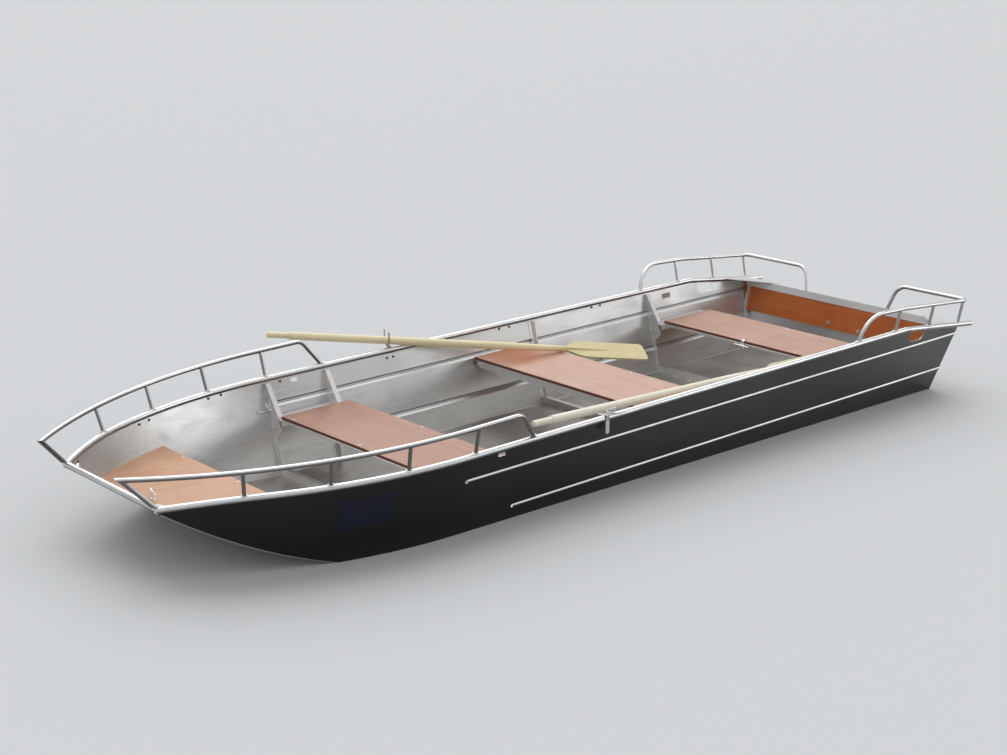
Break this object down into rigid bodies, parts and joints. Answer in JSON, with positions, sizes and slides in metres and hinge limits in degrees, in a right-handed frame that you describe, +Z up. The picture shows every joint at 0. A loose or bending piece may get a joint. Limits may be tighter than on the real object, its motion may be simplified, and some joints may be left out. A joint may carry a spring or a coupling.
{
  "type": "rowing boat",
  "caption": "Open flat-bottomed aluminium rowing boat with flared sides, board seats, hand rails, folding rowlocks and a pair of oars.",
  "frame": {"origin": "on the centre line at half the hull's length, on the underside of the centre runner", "axes": "+X towards the bow, +Y to port, +Z up"},
  "size_m": [5.281, 1.8929, 0.672],
  "materials": {
    "hull_sheet": "mill sheet, dull and lightly stained",
    "frame_sheet": "mill sheet, folded",
    "bright_tube": "satin tube",
    "seat_ply": "film-faced plywood, worn satin",
    "deck_ply": "film-faced plywood, worn satin",
    "transom_ply": "varnished plywood, glossy",
    "oar_wood": "pale varnish",
    "rowlock_steel": "zinc-plated steel, dull",
    "cleat_metal": "cast, polished"
  },
  "bodies": {
    "hull": {"bottom_plate": "hull_sheet", "bow_cleat": "cleat_metal", "bow_deck": "deck_ply", "bow_deck_beam": "frame_sheet", "bow_gussets": "frame_sheet", "bow_plate": "hull_sheet", "bow_rail_port": "bright_tube", "bow_rail_starboard": "bright_tube", "bow_tube": "bright_tube", "centre_seat": "seat_ply", "centre_seat_beam_aft": "frame_sheet", "centre_seat_beam_fore": "frame_sheet", "centre_seat_ledge_port": "frame_sheet", "centre_seat_ledge_starboard": "frame_sheet", "floor_rib_aft": "frame_sheet", "floor_rib_fore": "frame_sheet", "floor_rib_mid": "frame_sheet", "fore_seat": "seat_ply", "fore_seat_beam_aft": "frame_sheet", "fore_seat_beam_fore": "frame_sheet", "fore_seat_ledge_port": "frame_sheet", "fore_seat_ledge_starboard": "frame_sheet", "gunwale_port": "bright_tube", "gunwale_starboard": "bright_tube", "keel_runner_centre": "hull_sheet", "keel_runner_port": "hull_sheet", "keel_runner_starboard": "hull_sheet", "knee_aft_port": "frame_sheet", "knee_aft_starboard": "frame_sheet", "knee_fore_port": "frame_sheet", "knee_fore_starboard": "frame_sheet", "knee_seat_port": "frame_sheet", "knee_seat_starboard": "frame_sheet", "rear_seat": "seat_ply", "rear_seat_beam_aft": "frame_sheet", "rear_seat_beam_fore": "frame_sheet", "rear_seat_ledge_port": "frame_sheet", "rear_seat_ledge_starboard": "frame_sheet", "rowlock_socket_port": "rowlock_steel", "rowlock_socket_starboard": "rowlock_steel", "seat_cleat": "cleat_metal", "side_plate_port": "hull_sheet", "side_plate_starboard": "hull_sheet", "stern_corner_plate_port": "frame_sheet", "stern_corner_plate_starboard": "frame_sheet", "stern_rail_port": "bright_tube", "stern_rail_starboard": "bright_tube", "transom_board": "transom_ply", "transom_cap": "frame_sheet", "transom_plate": "hull_sheet", "transom_post_port": "frame_sheet", "transom_post_starboard": "frame_sheet", "wall_rib_port": "frame_sheet", "wall_rib_starboard": "frame_sheet"},
    "rowlock_port": {"rowlock_shank_port": "rowlock_steel"},
    "fork_port": {"rowlock_fork_port": "rowlock_steel"},
    "rowlock_starboard": {"rowlock_shank_starboard": "rowlock_steel", "rowlock_fork_starboard": "rowlock_steel"},
    "oar_port": {"oar_port": "oar_wood"},
    "oar_starboard": {"oar_starboard": "oar_wood"}
  },
  "joints": [
    {"name": "port_rowlock_swivel", "type": "hinge", "parent": "hull", "child": "rowlock_port", "pos_m": [0.3725, 0.818, 0.493], "axis": [0, 0, 1], "continuous": true},
    {"name": "port_fork_fold", "type": "hinge", "parent": "rowlock_port", "child": "fork_port", "pos_m": [0.3725, 0.818, 0.512], "axis": [0, 1, 0], "range_deg": [0, 90]},
    {"name": "starboard_rowlock_swivel", "type": "hinge", "parent": "hull", "child": "rowlock_starboard", "pos_m": [0.3725, -0.818, 0.493], "axis": [0, 0, 1], "range_deg": [-10, 10]},
    {"name": "port_oar_lift", "type": "slide", "parent": "hull", "child": "oar_port", "axis": [0, 0, 1], "range_m": [0, 0.25]},
    {"name": "starboard_oar_lift", "type": "slide", "parent": "hull", "child": "oar_starboard", "axis": [0, 0, 1], "range_m": [0, 0.25]}
  ]
}
